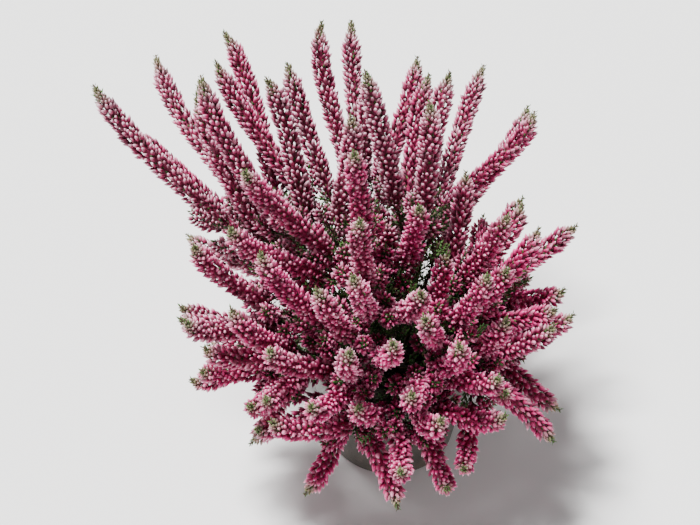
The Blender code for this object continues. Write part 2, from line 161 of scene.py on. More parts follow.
# Then the fans: from and to which bearing, from which lean down to which, the reach at those leans, and
# how many.
FANS = (
    ((130, 180), (30, 65), (200, 225), 8),  # back left
    ((70, 125), (10, 70), (180, 185), 7),  # back
    ((-20, 50), (25, 75), (140, 115), 7),  # right
    ((265, 325), (20, 54), (160, 145), 10),  # front, upper
    ((280, 350), (58, 80), (132, 116), 10),  # front right, lower
    ((210, 270), (20, 60), (185, 155), 8),  # front left, upper
    ((205, 285), (58, 78), (152, 122), 11),  # front left, lower
)
FAN_REACH = (0.90, 1.05)
FAN_JITTER = 7.0
GOLDEN_SHARE = (math.sqrt(5) - 1) / 2
GOLDEN_TURN = math.pi * (3 - math.sqrt(5))
FLOWER_SHOOTS = 92
SHOOTS_PER_SPRAY = 3
SPRAY_SPREAD = 0.46
FILL_LEAN_MOST = 82.0
FILL_REACH = (0.74, 0.98)
LEAFY_SHOOTS = 12
LEAFY_REACH = (66.0, 92.0)
LEAFY_LEAN = (14.0, 60.0)
CANDIDATES = 300
SEED = 7

# The shoots that fill the room between those grow long towards the back left and short elsewhere, least
# when low.
LONG_BEARING = 148.0
LONG_FALLOFF = 2.6
SHORT_REACH = 132.0
LONG_EXTRA = 76.0
LOW_RANGE = (60.0, 96.0)
LOW_LOSS = 0.20

# How shoots are bent clear of each other: leaders give way less than the rest. The inner ends of a
# spray's own shoots may touch, up to the free share of their way.
SPREAD_ROUNDS = 140
SPREAD_GAP = 0.0026
LEADER_YIELD = 0.2
FILL_YIELD = 0.5
FREE_SHARE = 0.4
NEAR_CROWN = 0.02
LIFT_RATE = 1.5
LIFT_MOST = 0.12
RIM_ZONE = 0.012
ROOT_SAMPLES = 3
SAMPLES = 18
LENGTH_SAMPLES = 13
TINY = 1e-6

# What this script adds to the solids. Its parts carry marks that the materials read: how far along the
# shoot they stand, a chance tint, how vivid they are, and how far up a leaf or bud.
LAYERS = ("age", "tint", "vivid", "rise")
EVEN_MARK = 0.5
BARK_MARKS = (0.0, EVEN_MARK, EVEN_MARK, EVEN_MARK)
BARK_SLOT = 0
LEAF_SLOT = 1
BUD_SLOT = 2
SPRAY_SEEDS = 1000

# The wood of a shoot, and the core of a spike, which stands for the feet of its buds.
SPINE_STEPS = 40
STALK_SIDES = 6
STALK_RINGS = 16
STALK_END = 0.995
STALK_THINNING = 0.55
STALK_POINT = 0.6
CORE_RINGS = 12
CORE_RADIUS = 0.0026
CORE_SWELL = 0.05
CORE_TAPER = 0.9
CORE_NARROW = 0.8
CORE_RISE = 0.28

# Side twigs below a spike: how close, where, how long, and how they leave and end, outwards and along the
# shoot. They are longer on a shoot that has more wood than usual below its spike.
SIDE_TWIG_SPACING = 0.0054
FEWEST_SIDE_TWIGS = 4
FIRST_TWIG = 0.1
TWIG_STRETCH = 0.95
TWIG_JITTER = (0.2, 0.8)
LAST_TWIG = 0.90
SIDE_TWIG_LENGTH = (0.012, 0.028)
LEAFY_USUAL = 0.060
LONGER_MOST = 1.5
LEAFY_TWIG_SIZE = 0.72
TWIG_START = (1.1, 0.7)
TWIG_FINISH = (0.52, 0.78)
TWIG_LIFT = 0.35
TWIG_ROOM = 0.005
TWIG_STEPS = 8
TWIG_SIDES = 4
TWIG_RINGS = 4
TWIG_WOOD = 0.0006
TWIG_THINNING = 0.3

# Scale leaves: the shape of one, how they stand, and their sizes on the parts of a shoot, as shares.
LEAF_WIDEST = 0.38
LEAF_THICKNESS = 0.5
LEAF_FOOT = 0.0005
LEAF_TURN = 0.4
LEAF_ALONG = (0.9, 1.3)
LEAF_OUT = (0.7, 1.1)
LEAF_SIZES = (0.75, 1.2)
LEAVES_END = 0.99
TWIG_LEAFY = (0.08, 0.98)
GREEN_LEAF = 1.25
GREEN_TWIG_LEAF = 1.15
LOW_LEAF = 1.2
LOW_LEAF_AGE = 0.4
TIP_LEAF = 0.85
TWIG_LEAF = 1.25

# Buds: the rings of one as (below or above, height, width), how they stand, and their sizes along a spike.
# Those near the tip are smaller, sit closer to the stalk and point more along it.
BUD_SIDES = 6
BUD_RINGS = ((-1, 0.30, 1.15), (1, 0.68, 0.84))
BUD_FOOT = 0.0031
TIP_FOOT = 0.0006
FOOT_TAPER = 0.82
BUD_TURN = 0.25
BUD_ALONG = (0.8, 1.3)
TIP_ALONG = 0.8
TIP_SHUTS = 0.75
BUD_SIZES = (0.80, 1.16)
BUD_FIRST = 0.78
BUD_SWELL = 0.12
BUD_TAPER = 0.80
BUD_LAST = 0.58
BUDS_IN_TIP = 0.45
TWIG_BLOOM = 0.5
TWIG_BUDS = (0.30, 0.92)
TWIG_BUD = 0.85
# Twig buds carry a low age mark, which gives them painted shade in the bud material.
TWIG_BUD_AGE = 0.55
VIVID_BEARING = 320.0
VIVID_CHANCE = 0.45

# Crumbs of peat, as shares of their size and of the pot's radius.
CRUMB_ROUGHNESS = (0.65, 1.2)
CRUMB_ZONE = 0.96
CRUMB_SIZES = (0.25, 1.0)
CRUMB_STRETCH = (0.6, 1.3)

# The fine pot and the stage.
POT_SPIN_STEPS = 96
HOLE_SPIN_STEPS = 24
DUST_HEIGHT = 0.022
SCUFF_RELIEF = 0.6
BACKDROP_SIDES = 64
BACKDROP_RADIUS = 12.0
BACKDROP_HEIGHT = 6.0
FLOOR_ROUGHNESS = 0.8
SUN_PLACE = (-0.52, 0.02, 1.30)
SUN_SOFTNESS = 16.0
SKY_COLOUR = (0.92, 0.95, 1.0, 1.0)
CAMERA_PLACE = (0.267, -0.715, 0.901)
CAMERA_AIM = (-0.034, 0.016, 0.118)


def blend(low, high, share):
    """Between low at share 0 and high at share 1."""
    return low + (high - low) * share


def smooth_step(low, high, value):
    """0 below low, 1 above high, and an easy slope between them."""
    share = min(1.0, max(0.0, (value - low) / (high - low)))
    return share * share * (3 - 2 * share)


def heading(bearing, lean):
    """The unit vector that leans so many degrees from upright towards that bearing."""
    turn = math.radians(bearing)
    out = math.sin(math.radians(lean))
    return Vector((out * math.cos(turn), out * math.sin(turn), math.cos(math.radians(lean))))


def angles(way):
    """Bearing and lean of a vector, in degrees."""
    return math.degrees(math.atan2(way.y, way.x)), math.degrees(math.atan2(math.hypot(way.x, way.y), way.z))


def natural_reach(bearing, lean):
    """How far, in mm, a shoot that fills the room between the leaders can grow."""
    back_left = max(0.0, math.cos(math.radians(bearing - LONG_BEARING) / 2)) ** LONG_FALLOFF
    return (SHORT_REACH + LONG_EXTRA * back_left) * (1 - LOW_LOSS * smooth_step(*LOW_RANGE, lean))


def basis(shares):
    """Weights of a shoot's start, first slope, end and last slope at shares of the way."""
    t = np.asarray(shares, float)
    weights = [2 * t**3 - 3 * t**2 + 1, t**3 - 2 * t**2 + t, 3 * t**2 - 2 * t**3, t**3 - t**2]
    return np.stack(weights, axis=-1)


class Shoot:
    """One shoot, from its root or fork to its tip."""

    def __init__(self, aim, reach, leader=False):
        self.aim = aim
        self.reach = reach * MM
        self.leader = leader
        self.flowers = True
        self.parent = None
        self.fork = 0.0
        self.sway = 0.0
        self.lift = 0.0
        self.curve = None

    def root(self):
        """Where it leaves the soil or its parent, and its direction there."""
        if self.parent is not None:
            start = self.parent.at(self.fork)
            along = (self.parent.at(self.fork + FORK_STEP) - start).normalized()
            outward = (self.tip() - start).normalized()
            return start, (along + outward).normalized()
        bearing, lean = angles(self.aim)
        start = heading(bearing, 90) * blend(*ROOT_RING, min(1.0, lean / LEAN_MOST)) + CROWN
        return start, heading(bearing, min(ROOT_LEAN_MOST, lean * ROOT_LEAN_SHARE))

    def tip(self):
        """Where it ends."""
        return CROWN + self.aim * self.reach

    def end_way(self):
        """The way its tip points."""
        bearing, lean = angles(self.aim)
        front = max(0.0, math.cos(math.radians(bearing - FRONT_BEARING)))
        rise = (TIP_RISE + FRONT_RISE * front) * smooth_step(*RISE_RANGE, lean)
        droop = TIP_DROOP * smooth_step(*DROOP_RANGE, lean)
        return (heading(bearing, lean - rise + droop) + heading(bearing + 90, 90) * self.sway).normalized()

    def settle(self):
        """Works out its smooth line: start, first slope, end and last slope. The parent comes first."""
        start, out = self.root()
        end = self.tip()
        span = (end - start).length
        first = out * span * ROOT_PULL + Vector((0, 0, self.lift))
        last = self.end_way() * span * TIP_PULL
        self.curve = np.array([start[:], first[:], end[:], last[:]])

    def line(self, shares):
        """Points on its line at shares of the way, as rows."""
        return basis(shares) @ self.curve

    def at(self, share):
        """The point on its line at a share of the way."""
        return Vector(self.line([share])[0])

    def length(self):
        """How long its line is."""
        steps = np.diff(self.line(np.linspace(0, 1, LENGTH_SAMPLES)), axis=0)
        return float(np.linalg.norm(steps, axis=1).sum())

    def zones(self):
        """Shares of the way where the leafy twig, the flowers and the green tip begin."""
        length = self.length()
        if not self.flowers:
            return TWIG_SHARE, 1.0, 1.0
        tip = 1 - GREEN_TIP / length
        share = blend(*SPIKE_SHARE, smooth_step(*SPIKE_SHARE_REACH, self.reach))
        bloom = max(BLOOM_EARLIEST, tip - share * self.reach / length)
        return TWIG_SHARE, bloom, tip

    def radius(self, share, zones):
        """Half its width at a share of the way, without the relief."""
        twig, bloom, tip = zones
        if share < twig:
            return WOOD_RADIUS
        if not self.flowers:
            return LEAFY_RADIUS * blend(1, LEAFY_END, smooth_step(LEAFY_TAPER, 1, share))
        if share < bloom - TINY:
            return TWIG_RADIUS
        if share > tip + TINY:
            return GREEN_TIP_RADIUS
        f = (share - bloom) / (tip - bloom)
        start = blend(SPIKE_START, 1, smooth_step(0, SPIKE_SWELL, f))
        end = blend(1, SPIKE_END, smooth_step(SPIKE_TAPER, 1, f))
        return SPIKE_RADIUS * start * end

    def widths(self, shares):
        """Half its width with the relief, at several shares of the way."""
        zones = self.zones()
        relief = BUD_RELIEF if self.flowers else LEAF_RELIEF
        return np.array([self.radius(share, zones) for share in shares]) * (1 + relief)


def leaders(draw):
    """The shoots that give the plant its outline: single ones, and each fan spread from its top down."""
    made = [Shoot(heading(bearing, lean), reach, leader=True) for bearing, lean, reach in KEY_SHOOTS]
    for bearings, leans, reaches, count in FANS:
        for i in range(count):
            down = (i + 0.5) / count
            bearing = blend(*bearings, (i + 1) * GOLDEN_SHARE % 1) + draw.uniform(-1, 1) * FAN_JITTER
            reach = blend(*reaches, down) * draw.uniform(*FAN_REACH)
            made.append(Shoot(heading(bearing, blend(*leans, down)), reach, leader=True))
    return made


def fill_aims(found):
    """Aims for the other shoots: of an even spread of candidates, always the one furthest from all so far."""
    taken = [shoot.aim for shoot in found]
    lowest = math.cos(math.radians(FILL_LEAN_MOST))
    candidates = []
    for i in range(CANDIDATES):
        z = blend(1, lowest, (i + 0.5) / CANDIDATES)
        turn = i * GOLDEN_TURN
        flat = math.sqrt(1 - z * z)
        candidates.append(Vector((flat * math.cos(turn), flat * math.sin(turn), z)))
    while len(taken) < FLOWER_SHOOTS:
        taken.append(max(candidates, key=lambda aim: min((aim - other).length for other in taken)))
    return taken[len(found):]


def gathered(free, draw):
    """The shoots in sprays: each main shoot takes the nearest ones still free as its side shoots."""
    sprays = []
    while free:
        main = free.pop(0)
        near = [shoot for shoot in free if (shoot.aim - main.aim).length < SPRAY_SPREAD]
        near.sort(key=lambda shoot: (shoot.aim - main.aim).length)
        sides = near[:SHOOTS_PER_SPRAY - 1]
        for side in sides:
            side.parent = main
            side.fork = draw.uniform(*FORK_SHARE)
            free.remove(side)
        sprays.append([main, *sides])
    return sprays


def leafy_shoots(draw):
    """The shoots without flowers, round the pot from nearly upright to leaning."""
    made = []
    for i in range(LEAFY_SHOOTS):
        bearing = 360 * (i * GOLDEN_SHARE % 1) + draw.uniform(-1, 1) * FAN_JITTER
        lean = blend(*LEAFY_LEAN, (i + 0.5) / LEAFY_SHOOTS)
        shoot = Shoot(heading(bearing, lean), draw.uniform(*LEAFY_REACH))
        shoot.flowers = False
        made.append(shoot)
    return made


def grow():
    """Every spray as a list of shoots, main one first, and then the leafy shoots, a list of one each."""
    draw = random.Random(SEED)
    free = leaders(draw)
    for aim in fill_aims(free):
        free.append(Shoot(aim, natural_reach(*angles(aim)) * draw.uniform(*FILL_REACH)))
    for shoot in free:
        shoot.sway = draw.uniform(-1, 1) * SWAY
    sprays = gathered(free, draw)
    leafy = [[shoot] for shoot in leafy_shoots(draw)]
    bend_clear(sprays + leafy)
    return sprays, leafy


def bend_clear(groups):
    """Turns the shoots' aims apart, and lifts their lines off the soil and the rim, so nothing touches."""
    shoots = [shoot for group in groups for shoot in group]
    shares = np.linspace(0, 1, SAMPLES)
    apart = kept_apart(groups, shares)
    for _ in range(SPREAD_ROUNDS):
        for shoot in shoots:
            shoot.settle()
        points = np.concatenate([shoot.line(shares) for shoot in shoots])
        radii = np.concatenate([shoot.widths(shares) for shoot in shoots])
        push = pushes(points, radii, apart)
        for i, shoot in enumerate(shoots):
            own = slice(i * SAMPLES, (i + 1) * SAMPLES)
            give_way(shoot, push[own], points[own], radii[own])
    for shoot in shoots:
        shoot.settle()


def kept_apart(groups, shares):
    """For each two samples, whether they have to stay clear of each other."""
    count = sum(len(group) for group in groups)
    spray = np.repeat([i for i, group in enumerate(groups) for _ in group], SAMPLES)
    shoot = np.repeat(np.arange(count), SAMPLES)
    outer = np.tile(shares, count) > FREE_SHARE
    other_spray = spray[:, None] != spray[None, :]
    other_shoot = shoot[:, None] != shoot[None, :]
    return other_shoot & (other_spray | (outer[:, None] & outer[None, :]))


def pushes(points, radii, apart):
    """The push on each sample away from the ones that are too close, weaker further out."""
    squares = (points**2).sum(1)
    distance = np.sqrt(np.clip(squares[:, None] + squares[None, :] - 2 * points @ points.T, TINY**2, None))
    rows, others = np.nonzero(apart & (distance < radii[:, None] + radii[None, :] + SPREAD_GAP))
    depth = radii[rows] + radii[others] + SPREAD_GAP - distance[rows, others]
    away = (points[rows] - points[others]) / distance[rows, others][:, None]
    push = np.zeros_like(points)
    np.add.at(push, rows, away * depth[:, None])
    return push / (np.linalg.norm(points - np.array(CROWN), axis=1) + NEAR_CROWN)[:, None]


def give_way(shoot, push, points, radii):
    """Turns a shoot's aim by its strongest push, and lifts its line where it is too low."""
    strongest = Vector(push[np.argmax(np.linalg.norm(push, axis=1))])
    bearing, lean = angles(shoot.aim + strongest * (LEADER_YIELD if shoot.leader else FILL_YIELD))
    shoot.aim = heading(bearing, min(lean, LEAN_MOST))
    sunk = max(0.0, -lowest_gap(points, radii))
    shoot.lift = min(LIFT_MOST, shoot.lift + sunk * LIFT_RATE)


def lowest_gap(points, radii):
    """The least room, below zero where they touch, between a shoot's samples and the soil or the rim."""
    out = np.linalg.norm(points[:, :2], axis=1)
    above = np.where(out > POT_RADIUS - RIM_ZONE, POT_HEIGHT, SOIL_TOP) + RIM_CLEARANCE
    room = points[:, 2] - radii - above
    near = (out < POT_RADIUS + radii + RIM_CLEARANCE) & (np.arange(len(points)) >= ROOT_SAMPLES)
    return float(room[near].min(initial=math.inf))


def wall_radius(z):
    """Outer radius of the pot's tapered wall under the collar."""
    top = POT_RADIUS - LIP_WIDTH / 2 - COLLAR_STEP
    return blend(POT_BASE_RADIUS, top, z / (POT_HEIGHT - COLLAR_HEIGHT))


def inner_radius(z):
    """Radius of the space inside the pot."""
    collar = POT_HEIGHT - COLLAR_HEIGHT
    return wall_radius(min(z, collar)) - POT_WALL + (COLLAR_STEP if z > collar + POT_WALL else 0.0)


@functools.cache
def grown():
    """The shoots as the solids have them, worked out once."""
    return grow()


def finished(name, bm):
    """A mesh of the bmesh, smooth and with its faces turned outwards."""
    bmesh.ops.recalc_face_normals(bm, faces=bm.faces)
    for face in bm.faces:
        face.smooth = True
    mesh = bpy.data.meshes.new(name)
    bm.to_mesh(mesh)
    bm.free()
    return mesh


def parts_of(made, kind):
    """The elements of one kind among those that a bmesh operator made."""
    return [part for part in made["geom"] if isinstance(part, kind)]


def bud_shape():
    """A closed bud: a pointed ovoid one unit long and about one wide, standing on the origin."""
    bm = bmesh.new()
    bmesh.ops.create_uvsphere(bm, u_segments=BUD_SIDES, v_segments=len(BUD_RINGS) + 1, radius=0.5)
    for end, height, width in BUD_RINGS:
        ring = [spot for spot in bm.verts if WELD < spot.co.z * end < 0.5 - WELD]
        lift = height - 0.5 - ring[0].co.z
        bmesh.ops.scale(bm, verts=ring, vec=(width, width, 1))
        bmesh.ops.translate(bm, verts=ring, vec=(0, 0, lift))
    bmesh.ops.translate(bm, verts=bm.verts, vec=(0, 0, 0.5))
    return finished("bud_shape", bm)


def leaf_shape():
    """A scale leaf: a slim keeled blade one unit long and one wide, standing on the origin."""
    bm = bmesh.new()
    bmesh.ops.create_cone(bm, segments=4, radius1=0.5, radius2=0.0, depth=1 - LEAF_WIDEST, cap_ends=False)
    bmesh.ops.translate(bm, verts=bm.verts, vec=(0, 0, (1 + LEAF_WIDEST) / 2))
    rim = [edge for edge in bm.edges if edge.is_boundary]
    foot = parts_of(bmesh.ops.extrude_edge_only(bm, edges=rim), bmesh.types.BMVert)
    bmesh.ops.pointmerge(bm, verts=foot, merge_co=(0, 0, 0))
    bmesh.ops.scale(bm, verts=bm.verts, vec=(LEAF_THICKNESS, 1, 1))
    bmesh.ops.remove_doubles(bm, verts=bm.verts, dist=WELD)
    return finished("leaf_shape", bm)


def crumb_shape():
    """A rough crumb of peat, about one unit across."""
    bm = bmesh.new()
    bmesh.ops.create_icosphere(bm, subdivisions=1, radius=0.5)
    draw = random.Random(SEED)
    for spot in bm.verts:
        spot.co *= draw.uniform(*CRUMB_ROUGHNESS)
    return finished("crumb_shape", bm)


class Spine:
    """A smooth line with a side direction that turns as little as possible along it."""

    def __init__(self, curve, steps=SPINE_STEPS):
        self.steps = steps
        self.points = [Vector(row) for row in basis(np.linspace(0, 1, steps + 1)) @ curve]
        self.length = sum((q - p).length for p, q in zip(self.points, self.points[1:]))
        self.alongs = []
        self.sides = []
        for i in range(steps + 1):
            along = (self.points[min(steps, i + 1)] - self.points[max(0, i - 1)]).normalized()
            side = self.sides[-1] if self.sides else along.orthogonal()
            self.sides.append((side - along * side.dot(along)).normalized())
            self.alongs.append(along)

    def at(self, share, turn=0.0):
        """Point, direction along, and direction outwards at an angle round the line."""
        step = min(self.steps - 1, int(share * self.steps))
        rest = share * self.steps - step
        point = self.points[step].lerp(self.points[step + 1], rest)
        along = self.alongs[step].lerp(self.alongs[step + 1], rest).normalized()
        side = self.sides[step].lerp(self.sides[step + 1], rest)
        side = (side - along * side.dot(along)).normalized()
        return point, along, side * math.cos(turn) + along.cross(side) * math.sin(turn)

    def frame(self, share, width):
        """The matrix of a ring so wide round the line, with its Z along the line."""
        point, along, side = self.at(share)
        return placed(point, side, along, width, 1.0)


def placed(point, side, way, width, length):
    """The matrix that stands a shape on a point with its Z along way and its X towards side."""
    across = way.cross(side).normalized()
    turned = Matrix((across.cross(way) * width, across * width, way * length)).transposed().to_4x4()
    return Matrix.Translation(point) @ turned


def new_shell():
    """An empty bmesh with the layers for the marks."""
    bm = bmesh.new()
    for name in LAYERS:
        bm.verts.layers.float.new(name)
    return bm


def copies(bm, shape, slot, places):
    """Adds a copy of the shape for each place, a matrix and the marks for all layers but the last."""
    *marked, rise = (bm.verts.layers.float[name] for name in LAYERS)
    heights = [spot.co.z for spot in shape.vertices]
    first_spot = len(bm.verts)
    first_face = len(bm.faces)
    for _ in places:
        bm.from_mesh(shape)
    bm.verts.ensure_lookup_table()
    bm.faces.ensure_lookup_table()
    for number, (matrix, marks) in enumerate(places):
        start = first_spot + number * len(heights)
        for height, spot in zip(heights, bm.verts[start:start + len(heights)]):
            spot.co = matrix @ spot.co
            spot[rise] = height
            for layer, mark in zip(marked, marks):
                spot[layer] = mark
    for face in bm.faces[first_face:]:
        face.material_index = slot


def stalk(bm, frames, sides, slot=BARK_SLOT, marks=BARK_MARKS):
    """A closed round stalk through ring frames, which hold its width, with the marks for all layers."""
    first_spot = len(bm.verts)
    first_face = len(bm.faces)
    ring = bmesh.ops.create_circle(bm, segments=sides, radius=1.0, cap_ends=True)["verts"]
    edges = list(ring[0].link_faces[0].edges)
    bmesh.ops.transform(bm, matrix=frames[0], verts=ring)
    for before, after in zip(frames, frames[1:]):
        made = bmesh.ops.extrude_edge_only(bm, edges=edges)
        edges = [edge for edge in parts_of(made, bmesh.types.BMEdge) if edge.is_boundary]
        ring = parts_of(made, bmesh.types.BMVert)
        bmesh.ops.transform(bm, matrix=after @ before.inverted(), verts=ring)
    bmesh.ops.contextual_create(bm, geom=edges)
    bm.verts.ensure_lookup_table()
    bm.faces.ensure_lookup_table()
    for name, mark in zip(LAYERS, marks):
        layer = bm.verts.layers.float[name]
        for spot in bm.verts[first_spot:]:
            spot[layer] = mark
    for face in bm.faces[first_face:]:
        face.material_index = slot


def stalk_frames(spine, start, end, rings, stops):
    """Ring frames from one share of a line to another, as wide as the stops, which are (share, radius)."""
    shares = np.linspace(start, end, rings)
    return [spine.frame(float(share), float(np.interp(share, *zip(*stops)))) for share in shares]


def shoot_stalk(bm, shoot, spine):
    """The woody line of a shoot, thinner towards its tip."""
    twig, bloom, _ = shoot.zones()
    stops = (
        (0.0, WOOD_RADIUS),
        (twig, WOOD_RADIUS),
        (bloom, WOOD_RADIUS * STALK_THINNING),
        (1.0, GREEN_TIP_POINT * STALK_POINT),
    )
    frames = stalk_frames(spine, 0.0, STALK_END, STALK_RINGS, stops)
    if shoot.parent is None:
        frames.insert(0, Matrix.Translation(-shoot.root()[1] * ROOT_DEPTH) @ frames[0])
    stalk(bm, frames, STALK_SIDES)


def spike_core(bm, shoot, spine, vivid):
    """The deep pink middle of a flower spike, which stands for the feet of its buds, coloured between their
    painted foot shade and their body colour.
    """
    _, bloom, tip = shoot.zones()
    stops = (
        (bloom, WOOD_RADIUS),
        (blend(bloom, tip, CORE_SWELL), CORE_RADIUS),
        (blend(bloom, tip, CORE_TAPER), CORE_RADIUS * CORE_NARROW),
        (tip, GREEN_TIP_POINT),
    )
    frames = stalk_frames(spine, bloom, tip, CORE_RINGS, stops)
    stalk(bm, frames, STALK_SIDES, BUD_SLOT, (EVEN_MARK, EVEN_MARK, vivid, CORE_RISE))


def side_twigs(shoot, spine, draw):
    """The short twigs that stand off a shoot below its spike, each as its share of the way and its line."""
    twig, bloom, _ = shoot.zones()
    turn_on = draw.uniform(0, math.tau)
    leafy = (bloom - twig) * spine.length
    count = max(FEWEST_SIDE_TWIGS, int(leafy / SIDE_TWIG_SPACING))
    longer = min(LONGER_MOST, max(1.0, leafy / LEAFY_USUAL)) if shoot.flowers else LEAFY_TWIG_SIZE
    twigs = []
    for i in range(count):
        place = FIRST_TWIG + TWIG_STRETCH * (i + draw.uniform(*TWIG_JITTER)) / count
        share = min(LAST_TWIG, blend(twig, bloom, place))
        point, along, outward = spine.at(share, turn_on + i * GOLDEN_TURN)
        length = draw.uniform(*SIDE_TWIG_LENGTH) * longer
        leaving = slanted(outward, along, TWIG_START) * length
        end = point + slanted(outward, along, TWIG_FINISH) * length
        last = (along + Vector((0, 0, TWIG_LIFT))) * length
        if clear_of_pot(end) and clear_of_pot((point + end) / 2):
            twigs.append((share, Spine(np.array([point[:], leaving[:], end[:], last[:]]), TWIG_STEPS)))
    return twigs


def slanted(outward, along, shares):
    """A direction made of so much outwards and so much along."""
    return outward * shares[0] + along * shares[1]


def side_stalk(bm, side):
    """The thin wood of a side twig."""
    stops = ((0.0, TWIG_WOOD), (1.0, TWIG_WOOD * TWIG_THINNING))
    stalk(bm, stalk_frames(side, 0.0, TWIG_LEAFY[1], TWIG_RINGS, stops), TWIG_SIDES)


def clear_of_pot(point):
    """Whether a side twig can pass here without going into the peat or the pot."""
    out = math.hypot(point.x, point.y)
    if out < POT_RADIUS - RIM_ZONE:
        return point.z > SOIL_TOP + TWIG_ROOM
    return out > POT_RADIUS + TWIG_ROOM or point.z > POT_HEIGHT + TWIG_ROOM


def leaf_places(spine, start, end, look, draw, size, age=None):
    """Places of leaf pairs along a stretch of a line, each pair a quarter turn on from the last."""
    pairs = max(2, int((end - start) * spine.length / (look.pair_spacing * size)))
    places = []
    for i in range(pairs):
        share = start + (end - start) * (i + 0.5) / pairs
        for half in (0, 1):
            turn = math.pi * (0.5 * i + half) + draw.uniform(-LEAF_TURN, LEAF_TURN)
            point, along, outward = spine.at(share, turn)
            way = (along * draw.uniform(*LEAF_ALONG) + outward * draw.uniform(*LEAF_OUT)).normalized()
            scale = size * draw.uniform(*LEAF_SIZES)
            foot = point + outward * LEAF_FOOT
            matrix = placed(foot, outward, way, look.leaf_width * scale, look.leaf_length * scale)
            places.append((matrix, (share if age is None else age, draw.random(), EVEN_MARK)))
    return places


def vividness(shoot, draw):
    """How strong the pink of a shoot's buds is: partly chance, and most of all towards the front right."""
    bearing, _ = angles(shoot.aim)
    facing = (1 + math.cos(math.radians(bearing - VIVID_BEARING))) / 2
    return blend(facing, draw.random(), VIVID_CHANCE)


def bud_places(spine, start, end, look, draw, vivid, size=1.0, age=None):
    """Places of the buds on a spike, round it by the golden angle, smaller and tighter towards its tip."""
    count = int((end - start) * spine.length / look.bud_spacing)
    turn_on = draw.uniform(0, math.tau)
    places = []
    for i in range(count):
        f = (i + 0.5) / count
        turn = turn_on + i * GOLDEN_TURN + draw.uniform(-BUD_TURN, BUD_TURN)
        point, along, outward = spine.at(blend(start, end, f), turn)
        scale = blend(BUD_FIRST, 1, smooth_step(0, BUD_SWELL, f))
        scale *= blend(1, BUD_LAST, smooth_step(BUD_TAPER, 1, f))
        scale *= size * draw.uniform(*BUD_SIZES)
        rise = draw.uniform(*BUD_ALONG) + TIP_ALONG * smooth_step(TIP_SHUTS, 1, f)
        way = (outward + along * rise).normalized()
        foot = point + outward * size * blend(BUD_FOOT, TIP_FOOT, smooth_step(FOOT_TAPER, 1, f))
        matrix = placed(foot, outward, way, look.bud_width * scale, look.bud_length * scale)
        places.append((matrix, (f if age is None else age, draw.random(), vivid)))
    return places


def spray_piece(number, group, blooms, leaves, shapes, materials):
    """One dressed spray or leafy shoot, as one object with bark, leaves and, on a spray, buds."""
    draw = random.Random(SPRAY_SEEDS * SEED + number)
    bm = new_shell()
    leaf_spots = []
    bud_spots = []
    for shoot in group:
        spine = Spine(shoot.curve)
        shoot_stalk(bm, shoot, spine)
        twig, bloom, tip = shoot.zones()
        if not shoot.flowers:
            leaf_spots += leaf_places(spine, twig, LEAVES_END, leaves, draw, GREEN_LEAF)
            for share, side in side_twigs(shoot, spine, draw):
                side_stalk(bm, side)
                leaf_spots += leaf_places(side, *TWIG_LEAFY, leaves, draw, GREEN_TWIG_LEAF, age=share)
            continue
        vivid = vividness(shoot, draw)
        spike_core(bm, shoot, spine, vivid)
        leaf_spots += leaf_places(spine, twig, bloom, leaves, draw, LOW_LEAF, age=LOW_LEAF_AGE)
        leaf_spots += leaf_places(spine, bloom, tip, leaves, draw, leaves.between_buds)
        leaf_spots += leaf_places(spine, tip, LEAVES_END, leaves, draw, TIP_LEAF)
        bud_spots += bud_places(spine, bloom, blend(tip, 1, BUDS_IN_TIP), blooms, draw, vivid)
        for share, side in side_twigs(shoot, spine, draw):
            side_stalk(bm, side)
            leaf_spots += leaf_places(side, *TWIG_LEAFY, leaves, draw, TWIG_LEAF, age=share)
            if share > blend(twig, bloom, TWIG_BLOOM):
                # Their age mark stays low, so the bud material paints shade on them, most on those lower on
                # the shoot.
                age = TWIG_BUD_AGE * share
                bud_spots += bud_places(side, *TWIG_BUDS, blooms, draw, vivid, TWIG_BUD, age=age)
    copies(bm, shapes["leaf"], LEAF_SLOT, leaf_spots)
    copies(bm, shapes["bud"], BUD_SLOT, bud_spots)
    name = f"bloom_spray_{number:02d}" if group[0].flowers else f"green_shoot_{number:02d}"
    mesh = finished(name, bm)
    for look in materials:
        mesh.materials.append(look)
    return new_piece(name, mesh)


def new_piece(name, mesh):
    """An object of the mesh, in the scene."""
    made = bpy.data.objects.new(name, mesh)
    bpy.context.scene.collection.objects.link(made)
    return made


